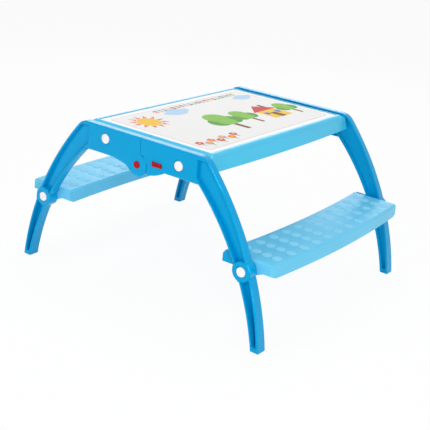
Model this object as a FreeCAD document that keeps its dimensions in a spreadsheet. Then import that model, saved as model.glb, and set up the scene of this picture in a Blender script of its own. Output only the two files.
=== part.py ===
import FreeCAD, Part
import math
import os
from collections import namedtuple
from types import SimpleNamespace

import Sketcher

# Folding study table for children with two attached benches.
# X runs from bench to bench, Y runs along the benches and Z is up. The origin is on the floor,
# in the middle of the table. The near side frames stand at negative Y.

# Driving dimensions in millimetres.
SIZES = {
    # whole table
    "table_height": 452.0,
    "foot_span": 840.0,
    "shoulder_span": 416.0,
    "opening_span": 383.2,
    "foot_depth": 722.0,
    "plate_depth": 706.0,
    "rail_width": 20.0,
    "overcut": 1.0,
    # arched legs
    "foot_width": 24.0,
    "foot_thickness": 32.5,
    "leg_outer_radius": 818.0,
    "leg_inner_radius": 733.0,
    "shoulder_radius": 45.0,
    "leg_rim": 7.0,
    "leg_web": 4.0,
    "leg_recess": 11.0,
    "recess_lead": 7.6,
    "recess_top": 12.0,
    "foot_sole": 14.0,
    # side plates
    "plate_height": 74.5,
    "plate_wall": 4.0,
    "plate_rib": 4.0,
    "top_flange": 5.0,
    # bench bosses and panel bosses, with their round caps and screws
    "boss_drop": 29.5,
    "boss_inset": 19.5,
    "boss_diameter": 56.0,
    "boss_proud": 1.5,
    "stop_reach": 74.5,
    "stop_low": 0.5,
    "stop_high": 29.0,
    "stop_bevel": 8.0,
    "stop_gap": 0.4,
    "stop_thickness": 4.0,
    "right_screw_x": 127.0,
    "right_screw_drop": 43.0,
    "left_screw_x": 121.5,
    "left_screw_drop": 32.5,
    "panel_boss_width": 37.0,
    "cap_diameter": 29.0,
    "cap_proud": 2.2,
    "cap_lip": 0.6,
    "cap_bevel": 3.0,
    "cap_fit": 0.2,
    "counterbore": 9.0,
    "screw_diameter": 6.0,
    "screw_head": 13.0,
    "screw_head_height": 4.0,
    "screw_fit": 0.2,
    "screw_bite": 12.0,
    "lug_thickness": 15.0,
    # hinge between the two halves of each side frame
    "hinge_x": -8.0,
    "hinge_rise": 0.5,
    "knuckle_radius": 31.5,
    "knuckle_thickness": 9.0,
    "knuckle_gap": 0.4,
    "knuckle_clearance": 0.3,
    "knuckle_relief_wall": 4.0,
    "seam_gap": 0.6,
    "cheek_start": 82.0,
    "cheek_tip_x": 27.0,
    "cheek_tip_drop": 19.0,
    "cheek_radius": 132.0,
    "cheek_socket": 27.5,
    "brow_start": 93.0,
    "brow_bend_x": 50.0,
    "brow_bend_drop": 9.5,
    "brow_socket": 23.6,
    "pin_diameter": 12.0,
    "pin_fit": 0.05,
    "pin_head": 19.5,
    "pin_head_height": 3.5,
    "ring_diameter": 20.0,
    "ring_thickness": 2.5,
    "pin_tail": 2.0,
    # sliding lock beside the knuckle
    "lock_x": 58.5,
    "lock_rise": 16.0,
    "thumb_width": 31.0,
    "thumb_height": 13.0,
    "thumb_taper": 1.0,
    "thumb_proud": 4.0,
    "thumb_round": 1.3,
    "thumb_groove": 2.0,
    "groove_margin": 3.5,
    "stem_offset": 1.0,
    "stem_width": 8.0,
    "stem_height": 8.0,
    "lock_travel": 8.0,
    "bolt_height": 10.0,
    "bolt_thickness": 4.0,
    "bolt_nose": 2.0,
    "bolt_tip_gap": 1.0,
    "bolt_tail": 8.0,
    "lock_clearance": 0.4,
    "lock_cell": 42.0,
    "lock_cell_lead": 2.0,
    # table board
    "board_width": 380.0,
    "board_length": 614.0,
    "board_thickness": 5.0,
    "board_corner": 8.0,
    "board_drop": 3.0,
    "board_gap": 1.0,
    # half table panels
    "panel_seam": 0.5,
    "panel_wall": 3.5,
    "panel_height": 42.0,
    "rim_drop": 1.0,
    "rim_width": 8.0,
    "rim_end_width": 3.0,
    "rim_bow": 0.5,
    "lip_bevel": 6.0,
    "lip_flare": 1.0,
    "end_drop": 12.5,
    "skirt_flare": 10.0,
    "skirt_bow": 10.0,
    "panel_rib": 3.0,
    "panel_rib_height": 20.0,
    "panel_lug": 32.0,
    # benches
    "bench_top": 226.5,
    "bench_height": 36.0,
    "bench_inner_reach": 75.0,
    "bench_inner_bow": 16.0,
    "bench_outer_reach": 69.7,
    "bench_outer_bow": 16.5,
    "bench_chamfer_x": 4.0,
    "bench_chamfer_y": 4.0,
    "bench_length": 659.0,
    "bench_flare": 1.5,
    "bench_wall": 3.5,
    "bench_edge": 5.0,
    "bench_rib": 3.0,
    "bench_rib_height": 22.0,
    "end_hem_rise": 7.5,
    "end_hem_run": 17.0,
    "ear_width": 94.0,
    "ear_foot": 36.0,
    "ear_drop": 11.5,
    "ear_rise": 15.0,
}

PANEL_RIBS_ACROSS = 3
PANEL_RIBS_ALONG = 2
BENCH_RIBS_ACROSS = 5
FOLD_ANGLE = math.radians(88)
SCREW_SIDES = 8
RING_SIDES = 12
TOUCH = 0.01

RIGHT = 1
LEFT = -1

V = FreeCAD.Vector


class Dim:
    """A size with its number and its formula over the cells of the sheet."""

    def __init__(self, value, text):
        self.value = float(value)
        self.text = text

    @staticmethod
    def of(number):
        return number if isinstance(number, Dim) else Dim(number, repr(float(number)))

    def __add__(self, other):
        other = Dim.of(other)
        return Dim(self.value + other.value, f"({self.text} + {other.text})")

    def __sub__(self, other):
        other = Dim.of(other)
        return Dim(self.value - other.value, f"({self.text} - {other.text})")

    def __rsub__(self, other):
        return Dim.of(other) - self

    def __mul__(self, other):
        other = Dim.of(other)
        return Dim(self.value * other.value, f"({self.text} * {other.text})")

    def __truediv__(self, other):
        other = Dim.of(other)
        return Dim(self.value / other.value, f"({self.text} / {other.text})")

    def __neg__(self):
        return Dim.of(0) - self

    __radd__ = __add__
    __rmul__ = __mul__


def root(square):
    return Dim(math.sqrt(square.value), f"sqrt({square.text})")


def leg_of_triangle(hypotenuse, side):
    """The third side of a right-angled triangle."""
    return root(hypotenuse * hypotenuse - side * side)


doc = FreeCAD.newDocument("study_table")
sheet = doc.addObject("Spreadsheet::Sheet", "sizes")
for row, (name, number) in enumerate(SIZES.items(), start=1):
    sheet.set(f"A{row}", name)
    sheet.set(f"B{row}", str(number))
    sheet.setAlias(f"B{row}", name)
doc.recompute()
s = SimpleNamespace(**{name: Dim(number, f"sizes.{name}") for name, number in SIZES.items()})

# Heights and depths that several pieces share. A depth is a distance from the middle of the table
# towards one side frame.
half_foot = s.foot_span / 2
plate_face = s.plate_depth / 2
foot_face = s.foot_depth / 2
rail_inner = plate_face - s.rail_width
plate_bottom = s.table_height - s.plate_height
hinge_z = plate_bottom + s.hinge_rise
lock_z = hinge_z + s.lock_rise
panel_screw = {
    RIGHT: (s.right_screw_x, s.table_height - s.right_screw_drop),
    LEFT: (s.left_screw_x, s.table_height - s.left_screw_drop),
}
boss_z = s.bench_top - s.boss_drop
leg_inner = foot_face - s.foot_thickness
outside = foot_face + s.overcut
inside = leg_inner - s.overcut


def arch_centre(foot_x, top_x, top_z, radius):
    """Centre of the leg arc that rises from a foot on the floor to a point of the plate."""
    run = foot_x - top_x
    chord = root(run * run + top_z * top_z)
    arm = leg_of_triangle(radius, chord / 2)
    return (foot_x + top_x) / 2 - arm * top_z / chord, top_z / 2 - arm * run / chord


outer_x, outer_z = arch_centre(half_foot, s.shoulder_span / 2, s.table_height, s.leg_outer_radius)
inner_x, inner_z = arch_centre(half_foot - s.foot_width, s.opening_span / 2, plate_bottom, s.leg_inner_radius)


def outer_edge(z, inset=0):
    """X of the leg's outer edge at a height, or of a line that runs inset from it."""
    return outer_x + leg_of_triangle(s.leg_outer_radius - inset, z - outer_z)


def inner_edge(z, inset=0):
    return inner_x + leg_of_triangle(s.leg_inner_radius + inset, z - inner_z)


boss_x = inner_edge(boss_z) + s.boss_inset
bench_inner = boss_x - s.bench_inner_reach
bench_outer = boss_x + s.bench_outer_reach
recess_start = s.opening_span / 2 - s.recess_lead
web_outer = plate_face - s.leg_recess
web_inner = web_outer - s.leg_web
wall_inner = plate_face - s.plate_wall
half_seam = s.seam_gap / 2
socket_radius = s.knuckle_radius + s.knuckle_clearance
outer_knuckle_inner = plate_face - s.knuckle_thickness
inner_knuckle_outer = outer_knuckle_inner - s.knuckle_gap
inner_knuckle_inner = inner_knuckle_outer - s.knuckle_thickness
pin_bore = s.pin_diameter + s.pin_fit * 2
counterbore_diameter = s.cap_diameter + s.cap_fit * 2
screw_hole = s.screw_diameter + s.screw_fit * 2
leg_face_at_boss = plate_face + (foot_face - plate_face) * (plate_bottom - boss_z) / plate_bottom
boss_face = leg_face_at_boss + s.boss_proud
bench_end = s.bench_length / 2
bench_bottom = s.bench_top - s.bench_height
end_hem = bench_bottom + s.end_hem_rise
rim_top = s.table_height - s.rim_drop
board_top = s.table_height - s.board_drop
seat = board_top - s.board_thickness
rim_inner = s.board_width / 2 + s.board_gap
skirt_bottom = rim_top - s.panel_height
bolt_low = lock_z - s.bolt_height / 2 - s.lock_clearance
bolt_high = lock_z + s.bolt_height / 2 + s.lock_clearance
bolt_outer = wall_inner - s.lock_clearance
bolt_inner = bolt_outer - s.bolt_thickness
stem_x = s.lock_x - s.stem_offset
knuckle_rim_at_bolt = s.hinge_x + leg_of_triangle(s.knuckle_radius, lock_z - s.bolt_height / 2 - hinge_z)
bolt_tip = knuckle_rim_at_bolt + s.bolt_tip_gap
lock_cell_start = s.lock_x - s.thumb_width / 2 + s.lock_cell_lead
lock_cell_end = lock_cell_start + s.lock_cell

# One corner of an outline. The edge that leaves it is straight, or an arc of the given radius that
# turns left (1) or right (-1) and takes the long way round when far is set.
Corner = namedtuple("Corner", "x y radius turn far", defaults=(None, 0, False))


def sketch_on(body, name, role, offset=None):
    """A sketch on one of the body's own planes, moved along the plane's normal by offset."""
    sketch = body.newObject("Sketcher::SketchObject", name)
    plane = next(item for item in body.Origin.OriginFeatures if item.Role == role)
    sketch.AttachmentSupport = [(plane, "")]
    sketch.MapMode = "FlatFace"
    if offset is not None:
        sketch.AttachmentOffset = FreeCAD.Placement(V(0, 0, offset.value), FreeCAD.Rotation())
        sketch.setExpression("AttachmentOffset.Base.z", offset.text)
    return sketch


def tie(sketch, kind, size, *points):
    """Adds a dimension to a sketch and binds it to the sheet."""
    index = sketch.addConstraint(Sketcher.Constraint(kind, *points, size.value))
    sketch.setExpression(f"Constraints[{index}]", size.text)


def tie_point(sketch, edge, end, x, y):
    tie(sketch, "DistanceX", Dim.of(x), -1, 1, edge, end)
    tie(sketch, "DistanceY", Dim.of(y), -1, 1, edge, end)


def arc_middle(start, end, corner):
    """The point half way along the arc that leaves a corner."""
    chord = end - start
    normal = V(-chord.y, chord.x, 0).normalize() * corner.turn
    rise = math.sqrt(corner.radius.value ** 2 - (chord.Length / 2) ** 2)
    centre = (start + end) / 2 + normal * (-rise if corner.far else rise)
    return centre - normal * corner.radius.value


def outline(sketch, corners):
    """Draws one closed outline whose corners and radii all follow the sheet."""
    points = [V(Dim.of(corner.x).value, Dim.of(corner.y).value, 0) for corner in corners]
    edges = []
    for index, corner in enumerate(corners):
        start, end = points[index], points[(index + 1) % len(points)]
        if corner.radius is None:
            shape = Part.LineSegment(start, end)
        else:
            shape = Part.Arc(start, arc_middle(start, end, corner), end)
        edge = sketch.addGeometry(shape)
        gaps = [(sketch.getPoint(edge, point) - start).Length for point in (1, 2)]
        first = 1 if gaps[0] < gaps[1] else 2
        edges.append((edge, first, 3 - first))
    for index, corner in enumerate(corners):
        edge, first, last = edges[index]
        following, following_first, _ = edges[(index + 1) % len(edges)]
        sketch.addConstraint(Sketcher.Constraint("Coincident", edge, last, following, following_first))
        tie_point(sketch, edge, first, corner.x, corner.y)
        if corner.radius is not None:
            tie(sketch, "Radius", corner.radius, edge)


def rectangle(sketch, low_x, low_y, high_x, high_y):
    outline(sketch, [
        Corner(low_x, low_y),
        Corner(high_x, low_y),
        Corner(high_x, high_y),
        Corner(low_x, high_y),
    ])


def circle(sketch, x, y, diameter):
    centre = V(Dim.of(x).value, Dim.of(y).value, 0)
    edge = sketch.addGeometry(Part.Circle(centre, V(0, 0, 1), diameter.value / 2))
    tie_point(sketch, edge, 3, x, y)
    tie(sketch, "Diameter", diameter, edge)


def polygon(sketch, x, y, diameter, sides=SCREW_SIDES):
    """A regular polygon in place of a small circle."""
    angles = [2 * math.pi * (index + 0.5) / sides for index in range(sides)]
    outline(sketch, [
        Corner(x + diameter * (math.cos(angle) / 2), y + diameter * (math.sin(angle) / 2)) for angle in angles
    ])


def square(sketch, x, y, side):
    rectangle(sketch, x - side / 2, y - side / 2, x + side / 2, y + side / 2)


def pad(body, sketch, length, reverse=False):
    feature = body.newObject("PartDesign::Pad", sketch.Name + "_pad")
    feature.Profile = sketch
    feature.setExpression("Length", length.text)
    feature.Reversed = reverse
    doc.recompute()
    return feature


def check_cut(body, feature, volume):
    if not body.Shape.Volume < volume:
        raise RuntimeError(f"{feature.Name} in {body.Label} cuts nothing")
    return feature


def pocket(body, sketch, length, reverse=False, symmetric=False):
    volume = body.Shape.Volume
    feature = body.newObject("PartDesign::Pocket", sketch.Name + "_pocket")
    feature.Profile = sketch
    feature.setExpression("Length", length.text)
    feature.Reversed = reverse
    if symmetric:
        feature.SideType = "Symmetric"
    doc.recompute()
    return check_cut(body, feature, volume)


def loft(body, kind, sketches):
    """A ruled loft, additive or subtractive, through the given sketches."""
    feature = body.newObject(kind, sketches[0].Name + "_loft")
    feature.Profile = sketches[0]
    feature.Sections = sketches[1:]
    feature.Ruled = True
    doc.recompute()
    return feature


def dress(body, kind, base, size_name, size, wanted):
    """Dresses the edges of the base feature that the test accepts."""
    names = [f"Edge{number}" for number, edge in enumerate(base.Shape.Edges, start=1) if wanted(edge)]
    feature = body.newObject(kind, base.Name + "_edges")
    feature.Base = (base, names)
    feature.setExpression(size_name, size.text)
    doc.recompute()
    return feature


def fillet(body, base, radius, wanted):
    return dress(body, "PartDesign::Fillet", base, "Radius", radius, wanted)


def bevel(body, base, size, wanted):
    return dress(body, "PartDesign::Chamfer", base, "Size", size, wanted)


def new_body(name):
    body = doc.addObject("PartDesign::Body", name)
    body.Label = name
    return body


def revolve(body, sketch):
    """Turns a half section about the body's own Z axis."""
    feature = body.newObject("PartDesign::Revolution", sketch.Name + "_turn")
    feature.Profile = sketch
    feature.ReferenceAxis = (sketch, ["V_Axis"])
    feature.setExpression("Angle", "360")
    doc.recompute()
    return feature


def turned(name, corners):
    """A round piece from its half section: x is the radius and y runs outward along its axis."""
    body = new_body(name)
    sketch = sketch_on(body, name + "_section", "XZ_Plane")
    outline(sketch, corners)
    revolve(body, sketch)
    return body


def set_in_near_side(body, x, z, depth):
    """Places a round piece in the near side frame with its axis pointing outward."""
    body.Placement = FreeCAD.Placement(V(x.value, -depth.value, z.value), FreeCAD.Rotation(V(1, 0, 0), 90))
    body.setExpression("Placement.Base.x", x.text)
    body.setExpression("Placement.Base.y", (-depth).text)
    body.setExpression("Placement.Base.z", z.text)
    return body


parts = {}


def keep(node):
    parts[node.Label] = node
    return node


def mirror(name, source, normal):
    """The mirror image of a piece about the middle of the table."""
    node = doc.addObject("Part::Mirroring", name)
    node.Label = name
    node.Source = source
    node.Base = V(0, 0, 0)
    node.Normal = normal
    doc.recompute()
    return node


def far_twin(near):
    return mirror(near.Label.replace("near_", "far_"), near, V(0, 1, 0))


def left_twin(right):
    return mirror(right.Label.replace("right_", "left_"), right, V(1, 0, 0))


def group(name, members):
    """Separate solids that share one node."""
    node = doc.addObject("Part::Compound", name)
    node.Label = name
    node.Links = members
    doc.recompute()
    return node


# Half side frames

def on_socket(offset, radius):
    """A point of a circle about the hinge, given by its distance beside the pin and below it."""
    return s.hinge_x + offset, hinge_z - leg_of_triangle(radius, Dim.of(offset))


def seam_corner(hand, radius):
    """Where a circle about the hinge meets the seam above the pin."""
    seam = half_seam * hand
    return seam, hinge_z + leg_of_triangle(radius, seam - s.hinge_x)


def frame_corners(hand):
    """Outline of a half frame: plate, shoulder, arched leg, foot and the socket for the other half."""
    shoulder_z = s.table_height - s.shoulder_radius
    rise = shoulder_z - outer_z
    shoulder_x = outer_x + leg_of_triangle(s.leg_outer_radius - s.shoulder_radius, rise)
    reach = s.leg_outer_radius / (s.leg_outer_radius - s.shoulder_radius)
    corners = [
        Corner(half_seam * hand, s.table_height),
        Corner(shoulder_x * hand, s.table_height, s.shoulder_radius, -hand),
        Corner((outer_x + (shoulder_x - outer_x) * reach) * hand, outer_z + rise * reach,
               s.leg_outer_radius, -hand),
        Corner(half_foot * hand, 0),
        Corner((half_foot - s.foot_width) * hand, 0, s.leg_inner_radius, hand),
        Corner(s.opening_span / 2 * hand, plate_bottom),
    ]
    seam_x, seam_z = seam_corner(hand, socket_radius)
    if hand == RIGHT:
        socket_x, socket_z = on_socket(s.cheek_socket, socket_radius)
        corners += [
            Corner(s.cheek_start, plate_bottom, s.cheek_radius, -1),
            Corner(s.cheek_tip_x, plate_bottom - s.cheek_tip_drop),
            Corner(socket_x, socket_z, socket_radius, 1),
        ]
    else:
        socket_x, socket_z = on_socket(-s.brow_socket, socket_radius)
        corners += [
            Corner(-s.brow_start, plate_bottom),
            Corner(-s.brow_bend_x, plate_bottom - s.brow_bend_drop),
            Corner(socket_x, socket_z, socket_radius, -1),
        ]
    return corners + [Corner(seam_x, seam_z)]


def knuckle_corners(hand):
    """Outline of a knuckle disc and of the root that ties it to its own half."""
    seam_x, seam_z = seam_corner(hand, s.knuckle_radius)
    offset = s.cheek_socket if hand == RIGHT else -s.brow_socket
    edge_x, edge_z = on_socket(offset, s.knuckle_radius)
    root_x = s.hinge_x + (s.knuckle_radius + s.knuckle_relief_wall * 2) * hand
    root_top = seam_z + s.knuckle_relief_wall
    root_low = hinge_z - s.knuckle_relief_wall * 2
    return [
        Corner(seam_x, seam_z),
        Corner(seam_x, root_top),
        Corner(root_x, root_top),
        Corner(root_x, root_low),
        Corner(edge_x, edge_z, s.knuckle_radius, -hand, True),
    ]


def recess_corners(hand):
    """Hollow between the rims of a leg, from the plate down to the sole."""
    high = s.table_height - s.recess_top
    rim = s.leg_rim
    start_z = inner_z + leg_of_triangle(s.leg_inner_radius + rim, recess_start - inner_x)
    return [
        Corner(recess_start * hand, high),
        Corner(outer_edge(high, rim) * hand, high, s.leg_outer_radius - rim, -hand),
        Corner(outer_edge(s.foot_sole, rim) * hand, s.foot_sole),
        Corner(inner_edge(s.foot_sole, rim) * hand, s.foot_sole, s.leg_inner_radius + rim, hand),
        Corner(recess_start * hand, start_z),
    ]


def cut_leg_taper(body):
    """Slopes both faces of the leg, so that it thickens towards the foot."""
    sketch = sketch_on(body, "leg_taper", "YZ_Plane")
    top = s.table_height + s.overcut
    outline(sketch, [
        Corner(-foot_face, 0),
        Corner(-plate_face, plate_bottom),
        Corner(-plate_face, top),
        Corner(-outside, top),
        Corner(-outside, 0),
    ])
    outline(sketch, [
        Corner(-leg_inner, 0),
        Corner(-inside, 0),
        Corner(-inside, top),
        Corner(-rail_inner, top),
        Corner(-rail_inner, plate_bottom),
    ])
    pocket(body, sketch, s.foot_span * 2, symmetric=True)


def cut_plate_cells(body, hand):
    """Opens the plate from the inside, leaving its outer wall, flanges and ribs."""
    low = plate_bottom + s.plate_wall
    high = s.table_height - s.top_flange
    knuckle_top = hinge_z + s.knuckle_radius + s.knuckle_relief_wall * 2
    last_wall = recess_start - s.plate_wall
    if hand == RIGHT:
        spans = [(lock_cell_start, lock_cell_end), (lock_cell_end + s.plate_rib, last_wall)]
    else:
        spans = [(s.brow_bend_x, s.brow_start), (s.brow_start + s.plate_rib, last_wall)]
    sketch = sketch_on(body, "plate_cells", "XZ_Plane", inside)
    for start, end in spans:
        rectangle(sketch, start * hand, low, end * hand, high)
    start, end = half_seam + s.plate_wall, spans[0][0] - s.plate_rib
    rectangle(sketch, start * hand, knuckle_top, end * hand, high)
    pocket(body, sketch, wall_inner - inside, reverse=True)


def add_bosses(body, hand):
    """Bench boss on the leg and panel boss in the plate, each with a cap seat and a screw hole."""
    screw_x, screw_z = panel_screw[hand]
    bosses = (
        ("bench_boss", circle, boss_x, boss_z, s.boss_diameter, bench_end, boss_face),
        ("panel_boss", square, screw_x, screw_z, s.panel_boss_width, rail_inner, plate_face),
    )
    for name, section, x, z, width, low, high in bosses:
        post = sketch_on(body, name, "XZ_Plane", low)
        section(post, x * hand, z, width)
        pad(body, post, high - low)
        cap_seat = sketch_on(body, name + "_cap_seat", "XZ_Plane", high)
        circle(cap_seat, x * hand, z, counterbore_diameter)
        pocket(body, cap_seat, s.counterbore)
        hole = sketch_on(body, name + "_screw_hole", "XZ_Plane", high)
        polygon(hole, x * hand, z, screw_hole)
        pocket(body, hole, high - low)


def add_bench_stop(body):
    """Lug on the inner side of the leg that covers the inner corner of the bench's end."""
    stop = sketch_on(body, "bench_stop", "XZ_Plane", bench_end + s.stop_gap)
    tip = boss_x - s.stop_reach
    low, high = boss_z - s.stop_low, boss_z + s.stop_high
    outline(stop, [
        Corner(tip, low),
        Corner(boss_x, low),
        Corner(boss_x, high),
        Corner(tip + s.stop_bevel, high),
        Corner(tip, high - s.stop_bevel),
    ])
    pad(body, stop, s.stop_thickness)


def cut_lock_ways(body):
    """Channel for the lock bolt, slot for the thumb piece's stem, and a lighter wall beside the knuckle."""
    channel = sketch_on(body, "bolt_channel", "XZ_Plane", inside)
    rectangle(channel, s.hinge_x, bolt_low, lock_cell_start, bolt_high)
    pocket(body, channel, wall_inner - inside, reverse=True)
    relief = sketch_on(body, "knuckle_relief", "XZ_Plane", inside)
    low = plate_bottom + s.plate_wall
    high = hinge_z + s.knuckle_radius + s.knuckle_relief_wall
    rectangle(relief, s.cheek_tip_x + s.plate_wall, low, lock_cell_start - s.plate_rib, high)
    pocket(body, relief, inner_knuckle_inner - inside, reverse=True)
    slot = sketch_on(body, "stem_slot", "XZ_Plane", plate_face)
    half_stem = s.stem_width / 2 + s.lock_clearance
    half_rise = s.stem_height / 2 + s.lock_clearance
    slot_start = stem_x - half_stem - s.lock_travel
    rectangle(slot, slot_start, lock_z - half_rise, stem_x + half_stem, lock_z + half_rise)
    pocket(body, slot, s.plate_wall)


def about_pin(x, z, angle):
    """A point after a turn about the hinge pin."""
    beside, above = x - s.hinge_x, z - hinge_z
    cosine, sine = math.cos(angle), math.sin(angle)
    return Corner(s.hinge_x + beside * cosine - above * sine, hinge_z + beside * sine + above * cosine)


def cut_lock_notches(body):
    """Notches in the outer knuckle that take the tip of the lock bolt, open and folded."""
    notches = sketch_on(body, "lock_notches", "XZ_Plane", outer_knuckle_inner)
    deep = bolt_tip - s.lock_travel - s.bolt_tip_gap
    past_rim = s.hinge_x + socket_radius
    for angle in (0, -FOLD_ANGLE):
        outline(notches, [
            about_pin(deep, bolt_low, angle),
            about_pin(past_rim, bolt_low, angle),
            about_pin(past_rim, bolt_high, angle),
            about_pin(deep, bolt_high, angle),
        ])
    pocket(body, notches, wall_inner - outer_knuckle_inner, reverse=True)


def half_frame(name, hand):
    body = new_body(name)
    blank = sketch_on(body, "frame_outline", "XZ_Plane", leg_inner)
    outline(blank, frame_corners(hand))
    pad(body, blank, foot_face - leg_inner)
    cut_leg_taper(body)
    for side, depth, length, reverse in (
        ("outer_recess", outside, outside - web_outer, False),
        ("inner_recess", inside, web_inner - inside, True),
    ):
        hollow = sketch_on(body, side, "XZ_Plane", depth)
        outline(hollow, recess_corners(hand))
        pocket(body, hollow, length, reverse=reverse)
    cut_plate_cells(body, hand)
    if hand == RIGHT:
        add_bench_stop(body)
    add_bosses(body, hand)
    if hand == RIGHT:
        cut_lock_ways(body)
    knuckle_low = inner_knuckle_inner if hand == RIGHT else outer_knuckle_inner
    knuckle = sketch_on(body, "knuckle", "XZ_Plane", knuckle_low)
    outline(knuckle, knuckle_corners(hand))
    pad(body, knuckle, s.knuckle_thickness)
    if hand == LEFT:
        cut_lock_notches(body)
    bore = sketch_on(body, "pin_bore", "XZ_Plane", knuckle_low + s.knuckle_thickness)
    circle(bore, s.hinge_x, hinge_z, pin_bore)
    pocket(body, bore, s.knuckle_thickness)
    keep(body)
    keep(far_twin(body))


# Half table panels and the loose board


def panel_outline(body, name, z, low_x, outer, end, bow):
    """Plan of a half panel at a height. The outer side bows outward by bow at its middle."""
    sketch = sketch_on(body, name, "XY_Plane", z)
    radius = (end * end + bow * bow) / (bow * 2)
    outline(sketch, [
        Corner(low_x, -end),
        Corner(outer, -end, radius, 1),
        Corner(outer, end),
        Corner(low_x, end),
    ])
    return sketch


def panel_ribs(body, name, boxes, low, high):
    sketch = sketch_on(body, name, "XY_Plane", low)
    for box in boxes:
        rectangle(sketch, *box)
    pad(body, sketch, high - low)


def half_panel(name, hand):
    """A half panel drawn on the right, with its screw lugs where the frame of the given hand has them."""
    body = new_body(name)
    seam = s.panel_seam
    rim_outer = rim_inner + s.rim_width
    lip_outer = rim_outer + s.lip_bevel
    foot_outer = lip_outer + s.lip_flare
    skirt_outer = foot_outer + s.skirt_flare
    lip_z = rim_top - s.lip_bevel
    seat_end = s.board_length / 2 + s.board_gap
    crown_end = seat_end + s.rim_end_width
    foot_z = rim_top - s.end_drop
    lip_end = crown_end + (rail_inner - crown_end) * s.lip_bevel / s.end_drop
    loft(body, "PartDesign::AdditiveLoft", [
        panel_outline(body, "skirt_hem", skirt_bottom, seam, skirt_outer, rail_inner, s.skirt_bow),
        panel_outline(body, "rim_foot", foot_z, seam, foot_outer, rail_inner, s.rim_bow),
        panel_outline(body, "rim_lip", lip_z, seam, lip_outer, lip_end, s.rim_bow),
        panel_outline(body, "rim_crown", rim_top, seam, rim_outer, crown_end, s.rim_bow),
    ])
    recess = sketch_on(body, "board_seat", "XY_Plane", rim_top)
    rectangle(recess, 0, -seat_end, rim_inner, seat_end)
    pocket(body, recess, rim_top - seat)
    ceiling = seat - s.panel_wall
    wall = s.panel_wall
    start, end = seam + wall, rail_inner - wall
    top_end = lip_end - wall
    volume = body.Shape.Volume
    hollow = loft(body, "PartDesign::SubtractiveLoft", [
        panel_outline(body, "hollow_hem", skirt_bottom, start, skirt_outer - wall, end, s.skirt_bow),
        panel_outline(body, "hollow_top", ceiling, start, foot_outer - wall, top_end, s.rim_bow),
    ])
    check_cut(body, hollow, volume)
    low = ceiling - s.panel_rib_height
    half_rib = s.panel_rib / 2
    across = []
    for index in range(PANEL_RIBS_ACROSS):
        y = end * (2 * (index + 1) / (PANEL_RIBS_ACROSS + 1) - 1)
        across.append((start, y - half_rib, foot_outer - wall, y + half_rib))
    panel_ribs(body, "ribs_across", across, low, ceiling)
    along = []
    for index in range(PANEL_RIBS_ALONG):
        x = start + (foot_outer - start) * ((index + 1) / (PANEL_RIBS_ALONG + 1))
        along.append((x - half_rib, -top_end, x + half_rib, top_end))
    panel_ribs(body, "ribs_along", along, low, ceiling)
    screw_x, screw_z = panel_screw[hand]
    add_screw_lugs(body, square, screw_x, screw_z, s.panel_lug, rail_inner)
    return body


def add_screw_lugs(body, section, x, z, width, end):
    """A thick lug with a blind screw hole at both ends of a panel or bench."""
    for side in (1, -1):
        inward = side == 1
        lug = sketch_on(body, "screw_lug", "XZ_Plane", end * side)
        section(lug, x, z, width)
        pad(body, lug, s.lug_thickness, reverse=inward)
        hole = sketch_on(body, "screw_pilot", "XZ_Plane", end * side)
        polygon(hole, x, z, screw_hole)
        pocket(body, hole, s.screw_bite + s.screw_fit, reverse=not inward)


def table_board():
    body = new_body("table_board")
    plan = sketch_on(body, "board_plan", "XY_Plane", seat)
    half_width, half_length = s.board_width / 2, s.board_length / 2
    rectangle(plan, -half_width, -half_length, half_width, half_length)
    blank = pad(body, plan, s.board_thickness)
    fillet(body, blank, s.board_corner, lambda edge: abs(edge.tangentAt(edge.FirstParameter).z) > 1 - TOUCH)
    keep(body)


# Benches


def bench_outline(body, name, z, spread, end):
    """Plan of the right bench at a height. Spread moves its long sides outward from the plan sizes."""
    sketch = sketch_on(body, name, "XY_Plane", z)
    inner, outer = bench_inner - spread, bench_outer + spread
    corner_y = end - s.bench_chamfer_y
    outer_radius = (corner_y * corner_y + s.bench_outer_bow * s.bench_outer_bow) / (s.bench_outer_bow * 2)
    inner_radius = (end * end + s.bench_inner_bow * s.bench_inner_bow) / (s.bench_inner_bow * 2)
    outline(sketch, [
        Corner(inner, -end),
        Corner(outer - s.bench_chamfer_x, -end),
        Corner(outer, -corner_y, outer_radius, 1),
        Corner(outer, corner_y),
        Corner(outer - s.bench_chamfer_x, end),
        Corner(inner, end, inner_radius, -1),
    ])
    return sketch


def bow_at(bow, y):
    """How far a bowed side stands out from its ends at a distance y along the bench."""
    return bow * (1 - (y / bench_end) * (y / bench_end))


def raise_end_hems(body):
    """Slopes the hem up towards both ends of the bench."""
    sketch = sketch_on(body, "end_hems", "YZ_Plane")
    low = bench_bottom - s.overcut
    for side in (1, -1):
        start, end = (bench_end - s.end_hem_run) * side, (bench_end + s.overcut) * side
        outline(sketch, [
            Corner(start, low),
            Corner(start, bench_bottom),
            Corner(bench_end * side, end_hem),
            Corner(end, end_hem),
            Corner(end, low),
        ])
    pocket(body, sketch, s.foot_span * 2, symmetric=True)


def ear(sketch, x, z, width):
    """Lug around a bench screw, which hangs below the hem and narrows downward."""
    half_width, half_foot_width = width / 2, s.ear_foot / 2
    outline(sketch, [
        Corner(x - half_foot_width, z - s.ear_drop),
        Corner(x + half_foot_width, z - s.ear_drop),
        Corner(x + half_width, end_hem),
        Corner(x + half_width, z + s.ear_rise),
        Corner(x - half_width, z + s.ear_rise),
        Corner(x - half_width, end_hem),
    ])


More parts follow.
